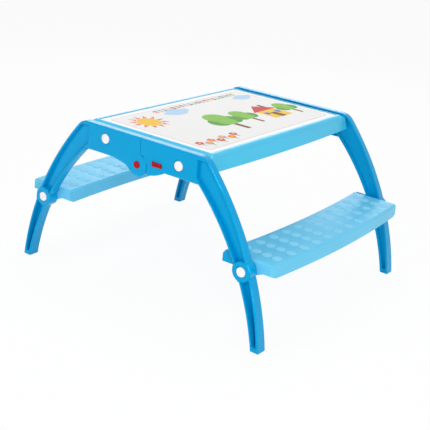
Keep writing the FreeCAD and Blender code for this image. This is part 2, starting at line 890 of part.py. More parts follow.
def right_bench():
    body = new_body("right_bench")
    ceiling = s.bench_top - s.bench_wall
    hem = bench_outline(body, "bench_hem", bench_bottom, s.bench_flare, bench_end)
    blank = pad(body, hem, s.bench_height)
    blank.setExpression("TaperAngle", f"-atan({(s.bench_flare / s.bench_height).text})")
    doc.recompute()
    top = s.bench_top.value
    bevel(body, blank, s.bench_edge, lambda edge: all(abs(v.Point.z - top) < TOUCH for v in edge.Vertexes))
    inside_end = bench_end - s.bench_flare - s.bench_wall
    hollow = bench_outline(body, "bench_hollow", bench_bottom, -s.bench_wall, inside_end)
    pocket(body, hollow, s.bench_height - s.bench_wall, reverse=True)
    raise_end_hems(body)
    half_rib = s.bench_rib / 2
    half_wall = s.bench_wall / 2
    ribs = []
    for index in range(BENCH_RIBS_ACROSS):
        y = bench_end * (2 * (index + 1) / (BENCH_RIBS_ACROSS + 1) - 1)
        inner = bench_inner + bow_at(s.bench_inner_bow, y) + half_wall
        outer = bench_outer + bow_at(s.bench_outer_bow, y) - half_wall
        ribs.append((inner, y - half_rib, outer, y + half_rib))
    panel_ribs(body, "bench_ribs", ribs, ceiling - s.bench_rib_height, ceiling)
    add_screw_lugs(body, ear, boss_x, boss_z, s.ear_width, bench_end)
    keep(body)
    keep(left_twin(body))


# Caps, screws, hinge pins and locks


def cap_section():
    """Half section of a cap: a plug in the counterbore, down to the screw's head, with a bevelled face."""
    radius = s.cap_diameter / 2
    top = s.counterbore + s.cap_proud
    return [
        Corner(0, s.screw_head_height),
        Corner(radius, s.screw_head_height),
        Corner(radius, s.counterbore + s.cap_lip),
        Corner(radius - s.cap_bevel, top),
        Corner(0, top),
    ]


def near_screw(name, x, z, low, floor):
    """Headed screw that reaches from a low depth to the floor under its head."""
    body = new_body(name)
    shank = sketch_on(body, "shank", "XZ_Plane", low)
    polygon(shank, x, z, s.screw_diameter)
    pad(body, shank, floor - low)
    head = sketch_on(body, "head", "XZ_Plane", floor)
    polygon(head, x, z, s.screw_head)
    pad(body, head, s.screw_head_height)
    return body


def caps_and_screws():
    for side, hand in (("right", RIGHT), ("left", LEFT)):
        places = (
            ("leg", boss_x, boss_z, boss_face, bench_end, "bench"),
            ("plate", *panel_screw[hand], plate_face, rail_inner, "panel"),
        )
        for spot, x, z, face, end, holds in places:
            floor = face - s.counterbore
            cap = turned(f"near_{side}_{spot}_cap", cap_section())
            set_in_near_side(cap, x * hand, z, floor)
            keep(group(f"{side}_{spot}_caps", [cap, far_twin(cap)]))
            screw = near_screw(f"near_{side}_{holds}_screw", x * hand, z, end - s.screw_bite, floor)
            keep(group(f"{side}_{holds}_screws", [screw, far_twin(screw)]))


def hinge_hardware():
    """Headed hinge pins through both knuckles, and the rings that hold their inner ends."""
    gap = s.knuckle_clearance
    shank = s.pin_diameter / 2
    head = s.pin_head / 2
    head_low = plate_face + gap
    tail = inner_knuckle_inner - s.ring_thickness - s.pin_tail - head_low
    near_pin = turned("near_hinge_pin", [
        Corner(0, tail),
        Corner(shank, tail),
        Corner(shank, 0),
        Corner(head, 0),
        Corner(head, s.pin_head_height / 2),
        Corner(head - s.pin_head_height / 2, s.pin_head_height),
        Corner(0, s.pin_head_height),
    ])
    set_in_near_side(near_pin, s.hinge_x, hinge_z, head_low)
    keep(group("hinge_pins", [near_pin, far_twin(near_pin)]))
    near_ring = new_body("near_pin_ring")
    plan = sketch_on(near_ring, "ring_plan", "XZ_Plane", inner_knuckle_inner)
    polygon(plan, s.hinge_x, hinge_z, s.ring_diameter, RING_SIDES)
    circle(plan, s.hinge_x, hinge_z, s.pin_diameter)
    pad(near_ring, plan, s.ring_thickness, reverse=True)
    keep(group("pin_rings", [near_ring, far_twin(near_ring)]))


def lock_thumb():
    """Thumb piece with two grip grooves and a stem that reaches the bolt."""
    body = new_body("near_lock_thumb")
    half = s.thumb_height / 2
    left, right = s.lock_x - s.thumb_width / 2, s.lock_x + s.thumb_width / 2
    face = plate_face + s.knuckle_clearance
    plan = sketch_on(body, "thumb_plan", "XZ_Plane", face)
    outline(plan, [
        Corner(left, lock_z - half),
        Corner(right, lock_z - half + s.thumb_taper),
        Corner(right, lock_z + half - s.thumb_taper),
        Corner(left, lock_z + half),
    ])
    blank = pad(body, plan, s.thumb_proud)
    front = (face + s.thumb_proud).value
    fillet(body, blank, s.thumb_round, lambda edge: all(v.Point.y + front < TOUCH for v in edge.Vertexes))
    grooves = sketch_on(body, "grip_grooves", "XZ_Plane", face + s.thumb_proud)
    reach = half - s.groove_margin
    for offset in (-s.thumb_groove * 2, s.thumb_groove * 2):
        x = s.lock_x + offset
        rectangle(grooves, x - s.thumb_groove / 2, lock_z - reach, x + s.thumb_groove / 2, lock_z + reach)
    pocket(body, grooves, s.thumb_groove / 2)
    stem = sketch_on(body, "thumb_stem", "XZ_Plane", bolt_inner)
    stem_outline(stem)
    pad(body, stem, face - bolt_inner)
    keep(body)
    keep(far_twin(body))


def stem_outline(sketch):
    half_width, half_height = s.stem_width / 2, s.stem_height / 2
    rectangle(sketch, stem_x - half_width, lock_z - half_height, stem_x + half_width, lock_z + half_height)


def lock_bolt():
    """Flat bolt with a bevelled tip, fixed on the stem of the thumb piece."""
    body = new_body("near_lock_bolt")
    plan = sketch_on(body, "bolt_plan", "XZ_Plane", bolt_inner)
    half = s.bolt_height / 2
    nose = s.bolt_nose
    outline(plan, [
        Corner(bolt_tip, lock_z - half + nose),
        Corner(bolt_tip + nose, lock_z - half),
        Corner(stem_x + s.bolt_tail, lock_z - half),
        Corner(stem_x + s.bolt_tail, lock_z + half),
        Corner(bolt_tip + nose, lock_z + half),
        Corner(bolt_tip, lock_z + half - nose),
    ])
    pad(body, plan, s.bolt_thickness)
    hole = sketch_on(body, "bolt_hole", "XZ_Plane", bolt_outer)
    stem_outline(hole)
    pocket(body, hole, s.bolt_thickness)
    keep(body)
    keep(far_twin(body))


half_frame("near_right_frame", RIGHT)
half_frame("near_left_frame", LEFT)
keep(half_panel("right_panel", RIGHT))
keep(mirror("left_panel", half_panel("left_panel_pattern", LEFT), V(1, 0, 0)))
table_board()
right_bench()
caps_and_screws()
hinge_hardware()
lock_thumb()
lock_bolt()
doc.recompute()

for item in doc.Objects:
    if "Invalid" in item.State or "Error" in item.State:
        raise RuntimeError(f"{item.Label} failed: {item.State}")
for name, node in parts.items():
    if node.Shape.isNull() or not node.Shape.isValid():
        raise RuntimeError(f"{name} has no valid shape")

os.makedirs("parts", exist_ok=True)
for name, node in parts.items():
    node.Shape.exportStep(f"parts/{name}.step")
print(f"{len(parts)} pieces")
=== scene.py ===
"""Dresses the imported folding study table: frames, panels, benches, board, caps, pins and locks."""

import logging
import math
from collections.abc import Callable
from dataclasses import dataclass, field
from enum import Enum

import bmesh
import bpy
from mathutils import Matrix, Quaternion, Vector


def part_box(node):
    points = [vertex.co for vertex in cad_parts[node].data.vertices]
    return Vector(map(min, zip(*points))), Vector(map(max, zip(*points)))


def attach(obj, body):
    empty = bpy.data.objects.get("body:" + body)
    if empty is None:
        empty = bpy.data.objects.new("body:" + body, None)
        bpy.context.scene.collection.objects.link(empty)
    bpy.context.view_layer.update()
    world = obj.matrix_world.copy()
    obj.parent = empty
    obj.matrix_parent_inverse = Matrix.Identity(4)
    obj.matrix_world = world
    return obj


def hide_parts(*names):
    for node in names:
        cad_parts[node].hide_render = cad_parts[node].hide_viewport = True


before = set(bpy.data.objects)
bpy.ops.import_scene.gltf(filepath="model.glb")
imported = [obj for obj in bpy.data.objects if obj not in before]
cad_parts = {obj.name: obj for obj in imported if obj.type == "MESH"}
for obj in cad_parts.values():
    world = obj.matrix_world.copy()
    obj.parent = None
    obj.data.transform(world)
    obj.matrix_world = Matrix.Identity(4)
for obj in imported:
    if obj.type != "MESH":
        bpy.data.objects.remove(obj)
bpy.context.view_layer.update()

LOG = logging.getLogger("study_table")
MM = 0.001
BMesh = bmesh.types.BMesh
BMEdge = bmesh.types.BMEdge
Material = bpy.types.Material
Object = bpy.types.Object
Socket = bpy.types.NodeSocket
Colour = tuple[float, float, float]
Point = tuple[float, float]
EdgeTest = Callable[[BMEdge], bool]


class Side(Enum):
    """The two halves of the table and the sign of X on each."""

    RIGHT = 1
    LEFT = -1

    @property
    def body(self) -> str:
        """Name of the CAD body that carries this half."""
        return f"{self.name.lower()}_half"


class End(Enum):
    """The two side frames and the sign of Y on each."""

    NEAR = -1
    FAR = 1


class Slot(Enum):
    """Material slots of the record."""

    FRAME = "frame_blue"
    LIGHT = "light_blue"
    BOARD = "printed_board"
    CAP = "cap_white"
    RED = "lock_red"


class NodeGraph:
    """A material under construction, with short ways to add and join its shader nodes."""

    NOISE_LOW = 0.3
    NOISE_HIGH = 0.7

    def __init__(self, name: str) -> None:
        """Starts an empty material with one principled shader.

        Args:
            name: Name of the material.
        """
        self.material = bpy.data.materials.new(name)
        self.material.use_nodes = True
        self.tree = self.material.node_tree
        self.shader = self.tree.nodes["Principled BSDF"]
        self.coords = self.add("ShaderNodeTexCoord").outputs["Object"]

    def add(self, kind: str, **settings: object) -> bpy.types.ShaderNode:
        """Adds a node.

        Args:
            kind: Type name of the node.
            **settings: Properties of the node, set by name.

        Returns:
            The new node.
        """
        node = self.tree.nodes.new(kind)
        for key, value in settings.items():
            setattr(node, key, value)
        return node

    def join(self, output: Socket, target: Socket) -> None:
        """Links an output to an input."""
        self.tree.links.new(output, target)

    def feed(self, name: str, output: Socket) -> None:
        """Links an output to the principled shader's input of that name."""
        self.join(output, self.shader.inputs[name])

    def fix(self, name: str, value: object) -> None:
        """Sets the principled shader's input of that name."""
        self.shader.inputs[name].default_value = value

    def noise(self, scale: float, detail: float = 2.0, roughness: float = 0.5) -> Socket:
        """Adds a noise pattern on the piece's own coordinates.

        Args:
            scale: Repeats per metre.
            detail: Octaves of the pattern.
            roughness: Weight of the finer octaves.

        Returns:
            The pattern's value output.
        """
        node = self.add("ShaderNodeTexNoise")
        node.inputs["Scale"].default_value = scale
        node.inputs["Detail"].default_value = detail
        node.inputs["Roughness"].default_value = roughness
        self.join(self.coords, node.inputs["Vector"])
        return node.outputs["Fac"]

    def spread(self, value: Socket, low: float = 0.0, high: float = 1.0) -> Socket:
        """Maps a noise value onto a range.

        Args:
            value: A value that varies about one half.
            low: Result at the low end of the noise.
            high: Result at the high end.

        Returns:
            The mapped value.
        """
        node = self.add("ShaderNodeMapRange")
        node.inputs["From Min"].default_value = self.NOISE_LOW
        node.inputs["From Max"].default_value = self.NOISE_HIGH
        node.inputs["To Min"].default_value = low
        node.inputs["To Max"].default_value = high
        self.join(value, node.inputs["Value"])
        return node.outputs["Result"]

    def two_tone(self, value: Socket, dark: Colour, light: Colour) -> Socket:
        """Blends two colours by a value.

        Args:
            value: The blend factor.
            dark: Colour at 0.
            light: Colour at 1.

        Returns:
            The blended colour.
        """
        node = self.add("ShaderNodeMix", data_type="RGBA")
        tones = [socket for socket in node.inputs if socket.type == "RGBA"]
        tones[0].default_value = (*dark, 1.0)
        tones[1].default_value = (*light, 1.0)
        self.join(value, node.inputs["Factor"])
        return next(socket for socket in node.outputs if socket.type == "RGBA")

    def bump(self, height: Socket, depth: float, strength: float) -> None:
        """Gives the shader a fine relief.

        Args:
            height: Relief pattern.
            depth: Height of the relief in metres.
            strength: Weight of the relief.
        """
        node = self.add("ShaderNodeBump")
        node.inputs["Strength"].default_value = strength
        node.inputs["Distance"].default_value = depth
        self.join(height, node.inputs["Height"])
        self.feed("Normal", node.outputs["Normal"])


def scaled(colour: Colour, factor: float) -> Colour:
    """A colour made lighter or darker."""
    return tuple(min(1.0, channel * factor) for channel in colour)


@dataclass(frozen=True)
class MouldedPlastic:
    """Injection-moulded plastic: flow mottle in the colour, uneven gloss and a fine tool grain.

    The glint tints what the plastic mirrors when it is seen square on. The range of roughness of
    a visible finish stays clear of 0.274, where the denoiser begins to take a surface for a
    mirror: a finish that crosses it shows specks.
    """

    name: str
    colour: Colour
    glint: Colour = (1.0, 1.0, 1.0)
    roughness: float = 0.32
    mottle: float = 0.05
    grain: float = 0.12
    coat: float = 0.0
    coat_roughness: float = 0.12
    ior: float = 1.52
    gloss_drop: float = 0.05
    gloss_rise: float = 0.06
    flow_scale: float = 5.0
    gloss_scale: float = 38.0
    grain_scale: float = 1400.0
    grain_depth: float = 0.06 * MM

    def material(self) -> Material:
        """Builds the finish.

        Returns:
            The material.
        """
        graph = NodeGraph(self.name)
        flow = graph.spread(graph.noise(self.flow_scale, detail=3.0))
        dark, light = (scaled(self.colour, tone) for tone in (1 - self.mottle, 1 + self.mottle))
        graph.feed("Base Color", graph.two_tone(flow, dark, light))
        patches = graph.noise(self.gloss_scale, detail=4.0, roughness=0.6)
        low, high = self.roughness - self.gloss_drop, self.roughness + self.gloss_rise
        graph.feed("Roughness", graph.spread(patches, low, high))
        graph.fix("IOR", self.ior)
        graph.fix("Specular Tint", (*self.glint, 1.0))
        graph.fix("Coat Weight", self.coat)
        graph.fix("Coat Roughness", self.coat_roughness)
        graph.bump(graph.noise(self.grain_scale), self.grain_depth, self.grain)
        return graph.material


@dataclass(frozen=True)
class PrintedInk:
    """Ink under a clear satin laminate: slight cloudiness of the print and hardly any gloss."""

    name: str
    colour: Colour
    dark_tone: float = 0.985
    light_tone: float = 1.01
    roughness: float = 0.34
    sheen: float = 0.03
    gloss: float = 0.03
    grain: float = 0.05
    cloud_scale: float = 60.0
    sheen_scale: float = 110.0
    grain_scale: float = 2600.0
    grain_depth: float = 0.02 * MM

    def material(self) -> Material:
        """Builds the finish.

        Returns:
            The material.
        """
        graph = NodeGraph(self.name)
        cloud = graph.spread(graph.noise(self.cloud_scale, detail=5.0, roughness=0.65))
        dark, light = (scaled(self.colour, tone) for tone in (self.dark_tone, self.light_tone))
        graph.feed("Base Color", graph.two_tone(cloud, dark, light))
        patches = graph.noise(self.sheen_scale, detail=3.0)
        low, high = self.roughness - self.sheen, self.roughness + self.sheen
        graph.feed("Roughness", graph.spread(patches, low, high))
        graph.fix("Specular IOR Level", self.gloss)
        graph.bump(graph.noise(self.grain_scale), self.grain_depth, self.grain)
        return graph.material


@dataclass(frozen=True)
class PlatedSteel:
    """Zinc-plated steel with a faint cloudy tone."""

    name: str
    colour: Colour
    dark_tone: float = 0.85
    low_roughness: float = 0.25
    high_roughness: float = 0.45
    grain: float = 0.15
    tone_scale: float = 90.0
    gloss_scale: float = 300.0
    grain_scale: float = 900.0
    grain_depth: float = 0.05 * MM

    def material(self) -> Material:
        """Builds the finish.

        Returns:
            The material.
        """
        graph = NodeGraph(self.name)
        tone = graph.spread(graph.noise(self.tone_scale, detail=4.0))
        dark = scaled(self.colour, self.dark_tone)
        graph.feed("Base Color", graph.two_tone(tone, dark, self.colour))
        patches = graph.noise(self.gloss_scale, detail=3.0)
        graph.feed("Roughness", graph.spread(patches, self.low_roughness, self.high_roughness))
        graph.fix("Metallic", 1.0)
        graph.bump(graph.noise(self.grain_scale), self.grain_depth, self.grain)
        return graph.material


CYAN_GLINT = (0.0, 0.5, 1.0)
SKY_GLINT = (0.3, 0.7, 1.0)
ROSE_GLINT = (1.0, 0.12, 0.12)
FRAME_BLUE = MouldedPlastic("frame_blue_plastic", (0.0, 0.335, 0.645), CYAN_GLINT,
                            roughness=0.2, mottle=0.03, grain=0.03, coat=0.06)
LIGHT_BLUE = MouldedPlastic("light_blue_plastic", (0.055, 0.51, 0.76), SKY_GLINT,
                            roughness=0.34, mottle=0.03, grain=0.06, coat=0.3)
BENCH_BLUE = MouldedPlastic("bench_blue_plastic", (0.14, 0.56, 0.8), CYAN_GLINT,
                            roughness=0.335, mottle=0.03, grain=0.06)
# The grip dots' paler colour is a painted sheen standing in for the pale sheen of their faces; their
# rougher finish is real.
SHEEN_DOT_BLUE = MouldedPlastic("grip_dot_painted_sheen_plastic", (0.25, 0.66, 0.86), CYAN_GLINT,
                          roughness=0.62, mottle=0.03, grain=0.2)
CAP_WHITE = MouldedPlastic("cap_white_plastic", (0.86, 0.86, 0.88),
                           roughness=0.34, mottle=0.015, grain=0.05)
LOCK_RED = MouldedPlastic("lock_red_plastic", (0.38, 0.004, 0.01), ROSE_GLINT,
                          roughness=0.34, mottle=0.06, grain=0.06)
BOLT_GREY = MouldedPlastic("bolt_grey_plastic", (0.2, 0.2, 0.21),
                           roughness=0.5, mottle=0.08, grain=0.2)
PLATED = PlatedSteel("plated_steel", (0.62, 0.62, 0.64))

# Shaping: corners closer than a weld are one, faces that meet below the flat angle are one,
# sharp edges are those above the edge angle, and a sliver is an edge without length.
CAD_WELD = 0.02 * MM
FLAT_ANGLE = 0.6
EDGE_ANGLE = 28.0
SLIVER = 0.005 * MM
SPIN_WELD = 0.001 * MM
SPIN_STEPS = 48
MOULDING_SHARP = 40.0
TURNED_SHARP = 50.0


def new_object(name: str, bm: BMesh, materials: list[Material]) -> Object:
    """Turns a finished bmesh into a scene object at the origin.

    Args:
        name: Name of the piece.
        bm: The piece's mesh, which is freed.
        materials: Material slots in the order of the faces' indices.

    Returns:
        The object.
    """
    mesh = bpy.data.meshes.new(name)
    bm.to_mesh(mesh)
    bm.free()
    for material in materials:
        mesh.materials.append(material)
    piece = bpy.data.objects.new(name, mesh)
    bpy.context.scene.collection.objects.link(piece)
    return piece


def shade(piece: Object, angle: float = MOULDING_SHARP) -> None:
    """Shades a piece smooth, keeps its corners sharp and lets large faces lead the normals.

    Args:
        piece: The piece.
        angle: Least angle of a sharp edge, in degrees.
    """
    mesh = piece.data
    mesh.shade_smooth()
    mesh.set_sharp_from_angle(angle=math.radians(angle))
    normals = piece.modifiers.new("face_weighted_normals", "WEIGHTED_NORMAL")
    normals.keep_sharp = True


def mount(piece: Object, body: str, slot: Slot, *nodes: str) -> None:
    """Fixes a piece to a CAD body and has it stand for CAD nodes.

    Args:
        piece: The finished piece.
        body: Name of the CAD body.
        slot: Material slot of the record; not used.
        *nodes: CAD nodes that the piece replaces.
    """
    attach(piece, body)
    if nodes:
        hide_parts(*nodes)
    LOG.info("%s on %s: %d faces", piece.name, body, len(piece.data.polygons))


def merged_copy(node: str) -> BMesh:
    """Copies a CAD node's mesh with its loose triangles joined and its flat faces made whole.

    Args:
        node: Name of the CAD node.

    Returns:
        The copy.
    """
    bm = bmesh.new()
    bm.from_mesh(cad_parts[node].data)
    bmesh.ops.remove_doubles(bm, verts=bm.verts, dist=CAD_WELD)
    bmesh.ops.dissolve_limit(bm, angle_limit=math.radians(FLAT_ANGLE), verts=bm.verts,
                             edges=bm.edges)
    for face in bm.faces:
        face.material_index = 0
    return bm


def bevel(bm: BMesh, edges: list[BMEdge], width: float, segments: int, clamp: bool = False) -> None:
    """Breaks edges with a round profile.

    Args:
        bm: The mesh.
        edges: The edges.
        width: Reach to each side, in metres.
        segments: Faces across; one makes a flat chamfer.
        clamp: Whether the reach shrinks everywhere to what the shortest edge allows.
    """
    bmesh.ops.bevel(bm, geom=edges, offset=width, offset_type="OFFSET", segments=segments,
                    profile=0.5, affect="EDGES", clamp_overlap=clamp, material=-1)


def soften(bm: BMesh, width: float, segments: int = 3, angle: float = EDGE_ANGLE,
           wanted: EdgeTest = lambda edge: True, clamp: bool = True, clean: bool = True) -> None:
    """Breaks the sharp edges of a moulding.

    Args:
        bm: The moulding.
        width: Reach to each side, in metres.
        segments: Faces across; one makes a flat chamfer.
        angle: Least angle of a sharp edge, in degrees.
        wanted: Test that an edge passes to be broken.
        clamp: Whether the reach shrinks everywhere to what the shortest edge allows.
        clean: Whether faces without size are taken out afterwards.
    """
    limit = math.radians(angle)
    bm.normal_update()
    edges = [edge for edge in bm.edges
             if len(edge.link_faces) == 2 and edge.calc_face_angle() > limit and wanted(edge)]
    bevel(bm, edges, width, segments, clamp)
    if clean:
        bmesh.ops.dissolve_degenerate(bm, dist=SLIVER, edges=bm.edges)


def turned(section: list[Point], centre: Vector, axis: Vector) -> BMesh:
    """Spins a half section into a round solid.

    Args:
        section: Points (radius, height) in metres, from the axis outward and back to it.
        centre: Where height 0 lies on the axis.
        axis: Direction of the axis.

    Returns:
        The solid.
    """
    bm = bmesh.new()
    points = [bm.verts.new((radius, 0.0, height)) for radius, height in section]
    edges = [bm.edges.new(pair) for pair in zip(points, points[1:])]
    bmesh.ops.spin(bm, geom=points + edges, cent=(0, 0, 0), axis=(0, 0, 1), angle=math.tau,
                   steps=SPIN_STEPS, use_merge=True)
    bmesh.ops.remove_doubles(bm, verts=bm.verts, dist=SPIN_WELD)
    bmesh.ops.recalc_face_normals(bm, faces=bm.faces)
    turn = Vector((0, 0, 1)).rotation_difference(axis).to_matrix().to_4x4()
    bmesh.ops.transform(bm, matrix=Matrix.Translation(centre) @ turn, verts=bm.verts)
    return bm


def absorb(bm: BMesh, part: BMesh) -> None:
    """Moves a finished part into a larger mesh.

    Args:
        bm: The mesh that grows.
        part: The part, which is freed.
    """
    mesh = bpy.data.meshes.new("part")
    part.to_mesh(mesh)
    part.free()
    bm.from_mesh(mesh)
    bpy.data.meshes.remove(mesh)


@dataclass
class SideFrame:
    """One half of a side frame: arched leg, side plate and knuckle.

    Chamfers break the convex edges between its outer face and its deep walls.
    """

    end: End
    side: Side
    rim_edge: float = 2.2 * MM
    seam_edge: float = 1.0 * MM
    seam_reach: float = 3.0 * MM
    cap_reach: float = 18.0 * MM
    wall_depth: float = 5.0 * MM
    least_facing: float = 0.98
    most_wall_lean: float = 0.3

    def on_face(self, edge: BMEdge) -> bool:
        """Tells whether a convex edge lies between the outer face and a deep wall.

        Args:
            edge: An edge of the moulding.

        Returns:
            True where the edge can be broken by a chamfer.
        """
        outer = [face for face in edge.link_faces
                 if face.normal.y * self.end.value > self.least_facing]
        walls = [face for face in edge.link_faces if abs(face.normal.y) < self.most_wall_lean]
        if not edge.is_convex or len(outer) != 1 or len(walls) != 1:
            return False
        depths = [vert.co.y for vert in walls[0].verts]
        return max(depths) - min(depths) > self.wall_depth

    def on_rim(self, edge: BMEdge) -> bool:
        """Tells whether an edge of the outer face lies away from the seam and the caps."""
        middle = (edge.verts[0].co + edge.verts[1].co) / 2
        return (self.on_face(edge) and abs(middle.x) > self.seam_reach
                and not self.by_cap(middle))

    def on_seam(self, edge: BMEdge) -> bool:
        """Tells whether an edge of the outer face runs along the seam between the halves."""
        return self.on_face(edge) and all(abs(vert.co.x) < self.seam_reach for vert in edge.verts)

    def by_cap(self, point: Vector) -> bool:
        """Tells whether a point of the outer face lies around a cap."""
        for spot in ("leg", "plate"):
            low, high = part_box(f"{self.side.name.lower()}_{spot}_caps")
            centre = (low + high) / 2
            if math.hypot(point.x - centre.x, point.z - centre.z) < self.cap_reach:
                return True
        return False

    def build(self, finish: Material) -> None:
        """Makes the moulding with its chamfers and hangs it on its half.

        Args:
            finish: The frame's plastic.
        """
        node = f"{self.end.name.lower()}_{self.side.name.lower()}_frame"
        bm = merged_copy(node)
        soften(bm, self.rim_edge, 1, wanted=self.on_rim, clamp=False)
        soften(bm, self.seam_edge, 1, wanted=self.on_seam, clamp=False)
        piece = new_object(f"{node}_moulding", bm, [finish])
        shade(piece)
        mount(piece, self.side.body, Slot.FRAME, node)


@dataclass
class HalfPanel:
    """One half of the table: rim, seat for the board and bowed skirt."""

    side: Side
    edge: float = 1.2 * MM
    lip_edge: float = 3.8 * MM
    lip_segments: int = 5
    lip_depth: float = 7.0 * MM
    rim_inner: float = 194.0 * MM

    def on_lip(self, edge: BMEdge) -> bool:
        """Tells whether an edge runs along the outer lip of the long rim."""
        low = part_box(f"{self.side.name.lower()}_panel")[1].z - self.lip_depth
        return all(abs(vert.co.x) > self.rim_inner and vert.co.z > low for vert in edge.verts)

    def build(self, finish: Material) -> None:
        """Makes the panel with a round lip and hangs it on its half.

        Args:
            finish: The panel's plastic.
        """
        node = f"{self.side.name.lower()}_panel"
        bm = merged_copy(node)
        soften(bm, self.lip_edge, self.lip_segments, wanted=self.on_lip)
        soften(bm, self.edge)
        piece = new_object(f"{node}_moulding", bm, [finish])
        shade(piece)
        mount(piece, self.side.body, Slot.LIGHT, node)


@dataclass
class Bench:
    """A bowed, glossy bench with raised, matt grip dots, whose paler colour is a painted sheen."""

    side: Side
    edge: float = 1.6 * MM
    top_edge: float = 3.3 * MM
    top_segments: int = 5
    top_edge_depth: float = 7.0 * MM
    rows: int = 4
    columns: int = 11
    row_pitch: float = 31.0 * MM
    column_pitch: float = 56.0 * MM
    middle: float = 345.5 * MM
    bow: float = 16.0 * MM
    half_length: float = 329.5 * MM
    top: float = 226.5 * MM
    dot_radius: float = 13.0 * MM
    dot_taper: float = 0.3 * MM
    dot_height: float = 1.1 * MM
    dot_sink: float = 0.1 * MM
    dot_edge: float = 0.7 * MM
    dot_sides: int = 32

    def on_top(self, edge: BMEdge) -> bool:
        """Tells whether an edge runs around the top of the bench."""
        return all(vert.co.z > self.top - self.top_edge_depth for vert in edge.verts)

    def add_dots(self, bm: BMesh) -> None:
        """Adds the grip dots: low discs with rounded rims, in rows that follow the bow.

        Args:
            bm: The dots.
        """
        crown = self.top + self.dot_height / 2
        for column in range(self.columns):
            y = self.column_pitch * (column - (self.columns - 1) / 2)
            bow = self.bow * (1 - (y / self.half_length) ** 2)
            for row in range(self.rows):
                x = self.middle + self.row_pitch * (row - (self.rows - 1) / 2) + bow
                place = Matrix.Translation((self.side.value * x, y, crown - self.dot_sink))
                disc = bmesh.ops.create_cone(
                    bm, cap_ends=True, segments=self.dot_sides, radius1=self.dot_radius,
                    radius2=self.dot_radius - self.dot_taper, depth=self.dot_height, matrix=place)
                rim = {edge for vert in disc["verts"] for edge in vert.link_edges
                       if all(v.co.z > crown for v in edge.verts)}
                bevel(bm, list(rim), self.dot_edge, 2)
        for face in bm.faces:
            face.material_index = 1

    def build(self, finish: Material, grip: Material) -> None:
        """Makes the bench and hangs it on its half.

        Args:
            finish: The bench's plastic.
            grip: The same plastic where the mould is roughened, on the dots, with a paler colour
                that is a painted sheen.
        """
        node = f"{self.side.name.lower()}_bench"
        bm = merged_copy(node)
        soften(bm, self.top_edge, self.top_segments, wanted=self.on_top)
        soften(bm, self.edge)
        dots = bmesh.new()
        self.add_dots(dots)
        absorb(bm, dots)
        piece = new_object(f"{node}_moulding", bm, [finish, grip])
        shade(piece)
        mount(piece, self.side.body, Slot.LIGHT, node)


@dataclass
class CapPair:
    """The near and far caps at one place of a half frame."""

    side: Side
    spot: str
    radius: float = 13.2 * MM
    dome: float = 2.2 * MM
    depth: float = 5.0 * MM
    arc_steps: int = 8
    rim_power: float = 0.55
    dome_power: float = 0.9

    def build(self, finish: Material) -> None:
        """Spins both domed caps into one piece and hangs it on its half.

        Args:
            finish: The caps' plastic.
        """
        node = f"{self.side.name.lower()}_{self.spot}_caps"
        low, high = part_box(node)
        middle = (low + high) / 2
        mouth = high.y - self.dome
        bm = bmesh.new()
        for end in End:
            place = Vector((middle.x, end.value * mouth, middle.z))
            absorb(bm, turned(self.section(), place, Vector((0, end.value, 0))))
        piece = new_object(f"{node}_domed", bm, [finish])
        shade(piece, TURNED_SHARP)
        mount(piece, self.side.body, Slot.CAP, node)

    def section(self) -> list[Point]:
        """Half section of a cap: plug, rounded rim and shallow dome.

        Returns:
            Points (radius, height) with height 0 at the counterbore's mouth.
        """
        points = [(0.0, -self.depth), (self.radius, -self.depth), (self.radius, 0.0)]
        for step in range(1, self.arc_steps):
            angle = math.pi / 2 * step / self.arc_steps
            points.append((self.radius * math.cos(angle) ** self.rim_power,
                           self.dome * math.sin(angle) ** self.dome_power))
        return [*points, (0.0, self.dome)]


@dataclass
class HingePins:
    """Red headed pins at the two knuckles.

    The profile of the head is given in shares of its radius and height: a rounded rim, a raised
    ring and a dished face.
    """

    radius: float = 9.75 * MM
    shank: float = 6.0 * MM
    head: float = 3.5 * MM
    profile: tuple[Point, ...] = ((1.0, 0.0), (1.0, 0.55), (0.93, 0.82), (0.8, 1.0), (0.62, 1.0),
                                  (0.52, 0.72), (0.3, 0.66), (0.0, 0.66))

    def build(self, finish: Material) -> None:
        """Spins both pins into one piece and hangs it on the right half.

        Args:
            finish: The pins' plastic.
        """
        low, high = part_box("hinge_pins")
        middle = (low + high) / 2
        under = high.y - self.head
        inner = min(abs(vertex.co.y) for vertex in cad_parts["hinge_pins"].data.vertices)
        bm = bmesh.new()
        for end in End:
            place = Vector((middle.x, end.value * under, middle.z))
            absorb(bm, turned(self.section(under - inner), place, Vector((0, end.value, 0))))
        piece = new_object("hinge_pins_turned", bm, [finish])
        shade(piece, TURNED_SHARP)
        mount(piece, Side.RIGHT.body, Slot.RED, "hinge_pins")

    def section(self, length: float) -> list[Point]:
        """Half section of a pin: shank and head.

        Args:
            length: Length of the shank.

        Returns:
            Points (radius, height) with height 0 under the head.
        """
        shank = [(0.0, -length), (self.shank, -length), (self.shank, 0.0)]
        return shank + [(self.radius * out, self.head * up) for out, up in self.profile]


@dataclass
class SlideLock:
    """A red thumb piece with its grip ridges."""

    end: End
    edge: float = 0.44 * MM

    def build(self, finish: Material) -> None:
        """Makes the rounded thumb piece and hangs it on its lock.

        Args:
            finish: The thumb piece's plastic.
        """
        node = f"{self.end.name.lower()}_lock_thumb"
        bm = merged_copy(node)
        soften(bm, self.edge, 2, clean=False)
        piece = new_object(f"{node}_moulding", bm, [finish])
        shade(piece)
        mount(piece, f"{self.end.name.lower()}_lock", Slot.RED, node)


